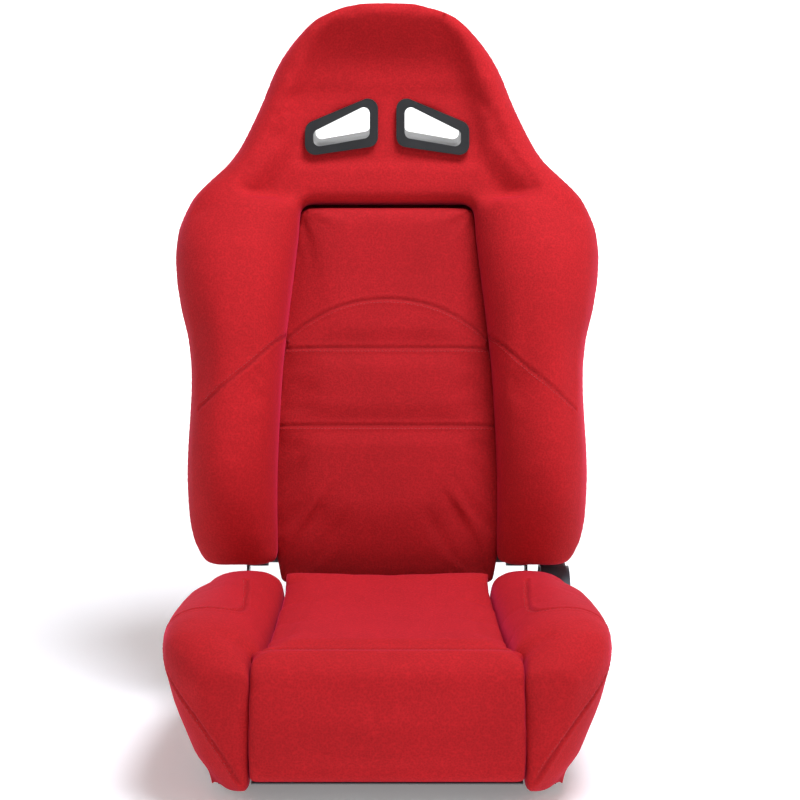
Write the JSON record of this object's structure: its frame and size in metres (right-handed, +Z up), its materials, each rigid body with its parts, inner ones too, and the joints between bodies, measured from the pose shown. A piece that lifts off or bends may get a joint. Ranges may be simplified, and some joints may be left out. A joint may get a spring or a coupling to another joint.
{
  "type": "racing seat",
  "caption": "Reclining racing seat with side, shoulder and cushion bolsters, harness slots in the fixed head, steel frame and a side release lever.",
  "frame": {"origin": "centre of the four base bolt holes, in the plane that the base stands on", "axes": "+Z up, the seat faces -Y, +X is to the right in a front view"},
  "size_m": [0.55, 0.711, 0.8936],
  "materials": {
    "red_cloth": "knitted polyester over moulded foam",
    "red_cloth_panel": "knitted polyester over foam",
    "frame_paint": "black powder coat",
    "zinc_steel": "zinc plated",
    "black_plastic": "moulded, fine grain",
    "slate_plastic": "moulded, fine grain",
    "grip_rubber": "moulded",
    "nylon": "turned nylon"
  },
  "bodies": {
    "base": {"base_side_plate_left": "frame_paint", "base_side_plate_right": "frame_paint", "front_cross_tube": "frame_paint", "rear_cross_tube": "frame_paint", "front_pan": "frame_paint", "weld_nuts": "zinc_steel", "seat_springs": "zinc_steel", "spring_hooks": "frame_paint", "seat_insert_pad": "red_cloth", "seat_front_roll": "red_cloth", "seat_bolster_left": "red_cloth", "seat_bolster_right": "red_cloth", "recliner_guide_disc": "zinc_steel", "lever_return_spring": "zinc_steel", "recliner_cover": "slate_plastic", "cover_screws": "zinc_steel", "pivot_spindle": "zinc_steel", "pivot_nut": "zinc_steel"},
    "backrest": {"recliner_ring": "zinc_steel", "recliner_retainer": "zinc_steel", "pivot_bush": "nylon", "clock_spring": "zinc_steel", "spring_pin": "zinc_steel", "back_arm_left": "frame_paint", "back_arm_right": "frame_paint", "arm_bolts": "zinc_steel", "back_upright_left": "frame_paint", "back_upright_right": "frame_paint", "back_top_bow": "frame_paint", "back_lower_tube": "frame_paint", "harness_bar": "frame_paint", "back_springs": "zinc_steel", "back_spring_clips": "frame_paint", "back_insert_pad": "red_cloth", "back_bolster_left": "red_cloth", "back_bolster_right": "red_cloth", "head_pad": "red_cloth", "back_rear_cover": "red_cloth_panel", "harness_bezel_left": "black_plastic", "harness_bezel_right": "black_plastic", "harness_rear_trim": "black_plastic"},
    "release": {"recliner_cam": "zinc_steel", "lever_shaft": "zinc_steel", "release_lever": "frame_paint", "lever_grip": "grip_rubber", "lever_screw": "zinc_steel"},
    "pawl_upper": {"recliner_pawl_upper": "zinc_steel"},
    "pawl_lower": {"recliner_pawl_lower": "zinc_steel"}
  },
  "joints": [
    {"name": "backrest_recline", "type": "hinge", "parent": "base", "child": "backrest", "pos_m": [0, 0.215, 0.115], "axis": [-1, 0, 0], "range_deg": [0, 55], "deforming": ["clock_spring"]},
    {"name": "lever_lift", "type": "hinge", "parent": "base", "child": "release", "pos_m": [0, 0.215, 0.115], "axis": [-1, 0, 0], "range_deg": [0, 30], "stiffness_Nm_per_rad": 1.2, "springref_deg": -14.32, "deforming": ["lever_return_spring"]},
    {"name": "pawl_upper_retract", "type": "slide", "parent": "base", "child": "pawl_upper", "axis": [0, 0, -1], "range_m": [0, 0.0021]},
    {"name": "pawl_lower_retract", "type": "slide", "parent": "base", "child": "pawl_lower", "axis": [0, 0, 1], "range_m": [0, 0.0021]}
  ],
  "couplings": [
    {"joint": "pawl_upper_retract", "follows": "lever_lift", "m_per_rad": 0.00382},
    {"joint": "pawl_lower_retract", "follows": "lever_lift", "m_per_rad": 0.00382}
  ]
}
